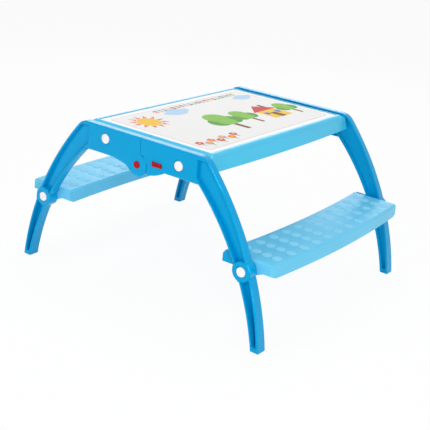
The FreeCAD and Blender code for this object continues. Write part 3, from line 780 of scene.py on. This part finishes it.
class Ink(Enum):
    """Inks of the printed board, in the order of its material slots."""

    WHITE = (0.88, 0.88, 0.88)
    FIELD = (0.78, 0.775, 0.76)
    RED = (0.55, 0.02, 0.02)
    ORANGE = (0.75, 0.15, 0.01)
    YELLOW = (0.8, 0.5, 0.02)
    GREEN = (0.07, 0.3, 0.02)
    LEAF = (0.2, 0.46, 0.04)
    BLUE = (0.02, 0.16, 0.48)
    TEAL = (0.1, 0.42, 0.5)
    PINK = (0.68, 0.26, 0.3)
    BROWN = (0.17, 0.05, 0.012)
    SKY = (0.4, 0.6, 0.78)

    @property
    def index(self) -> int:
        """Place of the ink among the board's material slots."""
        return list(Ink).index(self)


@dataclass
class PrintedBoard:
    """The loose board with a generic garden picture printed on it.

    The picture reads from the right bench: u runs along +Y and v towards -X, in millimetres. Each
    motif is laid in films of ink, and a film with a higher layer number lies over the others.
    """

    corner: float = 8.0 * MM
    corner_segments: int = 8
    edge: float = 0.7 * MM
    edge_angle: float = 60.0
    film: float = 0.04 * MM
    disc_sides: int = 40
    block_corner_steps: int = 4

    def build(self) -> None:
        """Makes the board and its print and lays both on the table."""
        low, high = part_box("table_board")
        bm = bmesh.new()
        size = high - low
        place = Matrix.Translation((low + high) / 2) @ Matrix.Diagonal((*size, 1.0))
        bmesh.ops.create_cube(bm, size=1.0, matrix=place)
        upright = [edge for edge in bm.edges
                   if abs(edge.verts[0].co.z - edge.verts[1].co.z) > size.z / 2]
        bevel(bm, upright, self.corner, self.corner_segments)
        soften(bm, self.edge, angle=self.edge_angle)
        inks = [PrintedInk(f"ink_{ink.name.lower()}", ink.value).material() for ink in Ink]
        board = new_object("board_sheet", bm, inks[:1])
        shade(board)
        mount(board, "board", Slot.BOARD, "table_board")
        bm = bmesh.new()
        self.draw(bm)
        bmesh.ops.recalc_face_normals(bm, faces=bm.faces)
        picture = new_object("board_print", bm, inks)
        mount(picture, "board", Slot.BOARD)

    def lay(self, bm: BMesh, points: list[Point], ink: Ink, layer: int) -> None:
        """Lays one flat patch of ink.

        Args:
            bm: The print.
            points: Outline (u, v) in millimetres.
            ink: The ink.
            layer: How many films lie under it.
        """
        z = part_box("table_board")[1].z + self.film * layer
        verts = [bm.verts.new((-v * MM, u * MM, z)) for u, v in points]
        face = bm.faces.new(verts)
        face.normal_update()
        if face.normal.z < 0:
            face.normal_flip()
        face.material_index = ink.index
        top = bmesh.ops.extrude_face_region(bm, geom=[face])
        lifted = [item for item in top["geom"] if isinstance(item, bmesh.types.BMVert)]
        bmesh.ops.translate(bm, vec=(0, 0, self.film), verts=lifted)

    def disc(self, bm: BMesh, u: float, v: float, radius: float, ink: Ink, layer: int,
             squash: float = 1.0) -> None:
        """Lays a round or oval patch.

        Args:
            bm: The print.
            u: Centre along the picture.
            v: Centre up the picture.
            radius: Half width.
            ink: The ink.
            layer: How many films lie under it.
            squash: Height over width.
        """
        turns = [math.tau * step / self.disc_sides for step in range(self.disc_sides)]
        points = [(u + radius * math.cos(t), v + radius * squash * math.sin(t)) for t in turns]
        self.lay(bm, points, ink, layer)

    def block(self, bm: BMesh, u: float, v: float, width: float, height: float, ink: Ink,
              layer: int, corner: float = 2.0) -> None:
        """Lays a rectangle with rounded corners.

        Args:
            bm: The print.
            u: Left edge.
            v: Lower edge.
            width: Width.
            height: Height.
            ink: The ink.
            layer: How many films lie under it.
            corner: Corner radius.
        """
        points = []
        for index, (cu, cv) in enumerate(((1, 1), (0, 1), (0, 0), (1, 0))):
            for step in range(self.block_corner_steps + 1):
                t = math.pi / 2 * (index + step / self.block_corner_steps)
                points.append((u + corner + cu * (width - 2 * corner) + corner * math.cos(t),
                               v + corner + cv * (height - 2 * corner) + corner * math.sin(t)))
        self.lay(bm, points, ink, layer)

    def draw(self, bm: BMesh) -> None:
        """Prints the picture: field with a fine line around it, garden motifs and tiles.

        Args:
            bm: The print.
        """
        clouds = ((-70, 118, 1.1), (238, 112, 0.9))
        trees = ((-30, -112, 1.3), (62, -96, 1.0), (254, -104, 0.9))
        petals = (Ink.RED, Ink.PINK, Ink.ORANGE)
        flowers, first_u, pitch, upper_v, stagger = 7, -262, 24, -118, 14
        self.block(bm, -288, -170, 576, 340, Ink.PINK, 1, corner=12)
        self.block(bm, -286.5, -168.5, 573, 337, Ink.FIELD, 2, corner=11)
        self.sun(bm, -215, 92)
        for u, v, size in clouds:
            self.cloud(bm, u, v, size)
        self.house(bm, 168, -96)
        for u, v, size in trees:
            self.tree(bm, u, v, size)
        for index in range(flowers):
            self.flower(bm, first_u + pitch * index, upper_v - stagger * (index % 2),
                        petals[index % len(petals)])
        self.tiles(bm)

    def sun(self, bm: BMesh, u: float, v: float) -> None:
        """Prints a round sun with short rays."""
        rays, half_width, root_radius, tip_radius, face_radius = 12, 7, 36, 60, 34
        for ray in range(rays):
            t = math.tau * ray / rays
            side = Vector((-math.sin(t), math.cos(t))) * half_width
            tip = Vector((u + tip_radius * math.cos(t), v + tip_radius * math.sin(t)))
            root = Vector((u + root_radius * math.cos(t), v + root_radius * math.sin(t)))
            self.lay(bm, [tuple(root - side), tuple(tip), tuple(root + side)], Ink.ORANGE, 3)
        self.disc(bm, u, v, face_radius, Ink.YELLOW, 4)

    def cloud(self, bm: BMesh, u: float, v: float, size: float) -> None:
        """Prints a pale blue cloud of four ovals."""
        ovals = ((-26, 0, 20), (0, 8, 26), (26, 0, 20), (0, -6, 34))
        for index, (du, dv, radius) in enumerate(ovals):
            self.disc(bm, u + du * size, v + dv * size, radius * size, Ink.SKY, 3 + index,
                      squash=0.62)

    def house(self, bm: BMesh, u: float, v: float) -> None:
        """Prints a small house with a pitched roof, a door, two windows and a chimney."""
        wall_width, wall_height = 88, 74
        eaves_half, eaves, ridge = 56, 70, 122
        door_width, door_height = 24, 44
        self.block(bm, u - wall_width / 2, v, wall_width, wall_height, Ink.YELLOW, 4)
        roof = [(u - eaves_half, v + eaves), (u + eaves_half, v + eaves), (u, v + ridge)]
        self.lay(bm, roof, Ink.RED, 5)
        self.block(bm, u - door_width / 2, v, door_width, door_height, Ink.BROWN, 5)
        for window in (-34, 18):
            self.block(bm, u + window, v + 34, 17, 20, Ink.BLUE, 5, corner=1.5)
        self.block(bm, u + 22, v + 86, 13, 34, Ink.BROWN, 3, corner=1)

    def tree(self, bm: BMesh, u: float, v: float, size: float) -> None:
        """Prints a round-headed tree."""
        trunk_width, trunk_height = 12 * size, 60 * size
        crowns = ((-20, 66, 26, Ink.GREEN), (20, 66, 26, Ink.GREEN), (0, 92, 30, Ink.LEAF),
                  (0, 62, 24, Ink.LEAF))
        self.block(bm, u - trunk_width / 2, v, trunk_width, trunk_height, Ink.BROWN, 3)
        for index, (du, dv, radius, ink) in enumerate(crowns):
            self.disc(bm, u + du * size, v + dv * size, radius * size, ink, 4 + index)

    def flower(self, bm: BMesh, u: float, v: float, ink: Ink) -> None:
        """Prints a five-petalled flower on a stalk."""
        petals, ring, petal_radius, eye_radius = 5, 7, 5.6, 4.6
        self.block(bm, u - 1.5, v - 24, 3, 26, Ink.GREEN, 3, corner=1)
        for petal in range(petals):
            t = math.tau * petal / petals
            self.disc(bm, u + ring * math.cos(t), v + ring * math.sin(t), petal_radius, ink,
                      4 + petal)
        self.disc(bm, u, v, eye_radius, Ink.YELLOW, 4 + petals)

    def tiles(self, bm: BMesh) -> None:
        """Prints two rows of small colour tiles along the upper edge."""
        inks = (Ink.RED, Ink.TEAL, Ink.PINK, Ink.YELLOW, Ink.BLUE, Ink.LEAF)
        columns, rows, column_pitch, row_pitch = 20, 2, 19, 11
        for column in range(columns):
            for row in range(rows):
                ink = inks[(column + 2 * row) % len(inks)]
                self.block(bm, -130 + column_pitch * column, 150 - row_pitch * row, 15, 8, ink, 3)


@dataclass(frozen=True)
class SoftLamp:
    """A rectangular lamp that faces the table.

    Place and size (width, height) are in metres, the power in watts and the lean in degrees.
    """

    name: str
    place: tuple[float, float, float]
    size: tuple[float, float]
    power: float
    lean: float = 0.0

    def hang(self, target: Vector) -> None:
        """Puts the lamp into the scene.

        Args:
            target: The point it faces.
        """
        data = bpy.data.lights.new(self.name, "AREA")
        data.shape = "RECTANGLE"
        data.size, data.size_y = self.size
        data.energy = self.power
        light = bpy.data.objects.new(self.name, data)
        light.location = self.place
        facing = (target - Vector(self.place)).to_track_quat("-Z", "Y")
        turn = Quaternion((0, 0, 1), math.radians(self.lean))
        light.rotation_euler = (facing @ turn).to_euler()
        bpy.context.scene.collection.objects.link(light)


LAMPS = (
    SoftLamp("key_strip", (2.4, -2.3, 1.35), (0.42, 2.7), 40.0, lean=18.0),
    SoftLamp("front_fill", (-0.7, -2.9, 1.5), (2.2, 2.2), 27.0),
    SoftLamp("side_fill", (2.9, 0.0, 0.95), (2.4, 1.0), 14.0),
    SoftLamp("back_panel", (-1.5, 2.3, 1.5), (2.2, 1.4), 13.0),
    SoftLamp("top_panel", (-0.2, 0.2, 2.4), (1.2, 1.2), 19.0),
)


@dataclass
class Studio:
    """Pale floor, soft light and the camera at the photograph's angle."""

    focal_px: float = 915.55
    yaw: float = math.radians(-34.35)
    pitch: float = math.radians(20.64)
    roll: float = math.radians(-5.43)
    eye: Vector = field(default_factory=lambda: Vector((1.4641, -2.0466, 1.1102)))
    centre_px: tuple[float, float] = (234.26, 213.36)
    image_px: float = 430.0
    sensor_mm: float = 36.0
    sight: float = 60.0
    lamp_target: Vector = field(default_factory=lambda: Vector((0, 0, 0.3)))
    room_light: float = 0.38
    room_tint: Colour = (0.96, 0.98, 1.0)
    floor_half: float = 14.0
    floor_dark: Colour = (0.93, 0.93, 0.93)
    floor_light: Colour = (0.95, 0.95, 0.95)
    floor_mottle_scale: float = 2.0
    floor_roughness: float = 0.9
    floor_glow: float = 0.93

    def build(self) -> None:
        """Sets up the floor, the light and the camera."""
        self.floor()
        self.world()
        for lamp in LAMPS:
            lamp.hang(self.lamp_target)
        self.camera()
        bpy.context.scene.view_settings.view_transform = "Standard"

    def floor(self) -> None:
        """Lays a wide floor that shows white to the camera and in mirrors and keeps the shadow."""
        bm = bmesh.new()
        bmesh.ops.create_grid(bm, x_segments=1, y_segments=1, size=self.floor_half)
        graph = NodeGraph("pale_floor")
        mottle = graph.noise(self.floor_mottle_scale)
        graph.feed("Base Color", graph.two_tone(mottle, self.floor_dark, self.floor_light))
        graph.fix("Roughness", self.floor_roughness)
        glow = graph.add("ShaderNodeEmission")
        seen = graph.add("ShaderNodeMath", operation="MULTIPLY")
        seen.inputs[1].default_value = self.floor_glow
        blend = graph.add("ShaderNodeMixShader")
        graph.join(self.background_rays(graph.tree), seen.inputs[0])
        graph.join(seen.outputs["Value"], blend.inputs["Fac"])
        graph.join(graph.shader.outputs["BSDF"], blend.inputs[1])
        graph.join(glow.outputs["Emission"], blend.inputs[2])
        surface = graph.tree.nodes["Material Output"].inputs["Surface"]
        graph.join(blend.outputs["Shader"], surface)
        new_object("floor", bm, [graph.material])

    def world(self) -> None:
        """Fills the room with even white light and a white background."""
        world = bpy.data.worlds.new("white_room")
        bpy.context.scene.world = world
        world.use_nodes = True
        tree = world.node_tree
        room = tree.nodes["Background"]
        room.inputs["Color"].default_value = (*self.room_tint, 1.0)
        level = tree.nodes.new("ShaderNodeMapRange")
        level.inputs["To Min"].default_value = self.room_light
        level.inputs["To Max"].default_value = 1.0
        tree.links.new(self.background_rays(tree), level.inputs["Value"])
        tree.links.new(level.outputs["Result"], room.inputs["Strength"])

    @staticmethod
    def background_rays(tree: bpy.types.NodeTree) -> Socket:
        """Adds a value that is 1 for what the camera sees directly, in a mirror or through glass.

        Args:
            tree: The nodes of the floor or of the world.

        Returns:
            The value.
        """
        path = tree.nodes.new("ShaderNodeLightPath")
        value = path.outputs["Is Camera Ray"]
        for kind in ("Is Glossy Ray", "Is Transmission Ray"):
            either = tree.nodes.new("ShaderNodeMath")
            either.operation = "MAXIMUM"
            tree.links.new(value, either.inputs[0])
            tree.links.new(path.outputs[kind], either.inputs[1])
            value = either.outputs["Value"]
        return value

    def camera(self) -> None:
        """Puts the camera where the photograph was taken from."""
        right = Vector((math.cos(self.yaw), -math.sin(self.yaw), 0))
        level = math.cos(self.pitch)
        ahead = Vector((math.sin(self.yaw) * level, math.cos(self.yaw) * level,
                        -math.sin(self.pitch)))
        down = ahead.cross(right)
        turn_cos, turn_sin = math.cos(self.roll), math.sin(self.roll)
        across = right * turn_cos + down * turn_sin
        below = down * turn_cos - right * turn_sin
        data = bpy.data.cameras.new("photo_camera")
        data.sensor_fit = "HORIZONTAL"
        data.sensor_width = self.sensor_mm
        data.lens = self.focal_px / self.image_px * data.sensor_width
        data.shift_x = (self.image_px / 2 - self.centre_px[0]) / self.image_px
        data.shift_y = (self.centre_px[1] - self.image_px / 2) / self.image_px
        data.clip_end = self.sight
        camera = bpy.data.objects.new("photo_camera", data)
        axes = Matrix((across, -below, -ahead)).transposed().to_4x4()
        camera.matrix_world = Matrix.Translation(self.eye) @ axes
        bpy.context.scene.collection.objects.link(camera)
        bpy.context.scene.camera = camera


def dress_cad_nodes(finish: Material, *nodes: str) -> None:
    """Gives CAD nodes that stay as they are a finish of their own.

    Args:
        finish: The material.
        *nodes: Names of the CAD nodes.
    """
    for node in nodes:
        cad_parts[node].data.materials.clear()
        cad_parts[node].data.materials.append(finish)
        LOG.info("%s keeps its CAD shape", node)


def main() -> None:
    """Builds every piece of the table and the studio around it."""
    logging.basicConfig(level=logging.INFO, format="%(name)s: %(message)s")
    frame_finish = FRAME_BLUE.material()
    light_finish = LIGHT_BLUE.material()
    bench_finish = BENCH_BLUE.material()
    dot_sheen_finish = SHEEN_DOT_BLUE.material()
    cap_finish = CAP_WHITE.material()
    red_finish = LOCK_RED.material()
    for side in Side:
        for end in End:
            SideFrame(end, side).build(frame_finish)
        HalfPanel(side).build(light_finish)
        Bench(side).build(bench_finish, dot_sheen_finish)
        for spot in ("leg", "plate"):
            CapPair(side, spot).build(cap_finish)
    HingePins().build(red_finish)
    for end in End:
        SlideLock(end).build(red_finish)
    PrintedBoard().build()
    dress_cad_nodes(BOLT_GREY.material(), "near_lock_bolt", "far_lock_bolt")
    dress_cad_nodes(PLATED.material(), "pin_rings", "right_bench_screws", "left_bench_screws",
                    "right_panel_screws", "left_panel_screws")
    Studio().build()


if __name__ == "__main__":
    main()
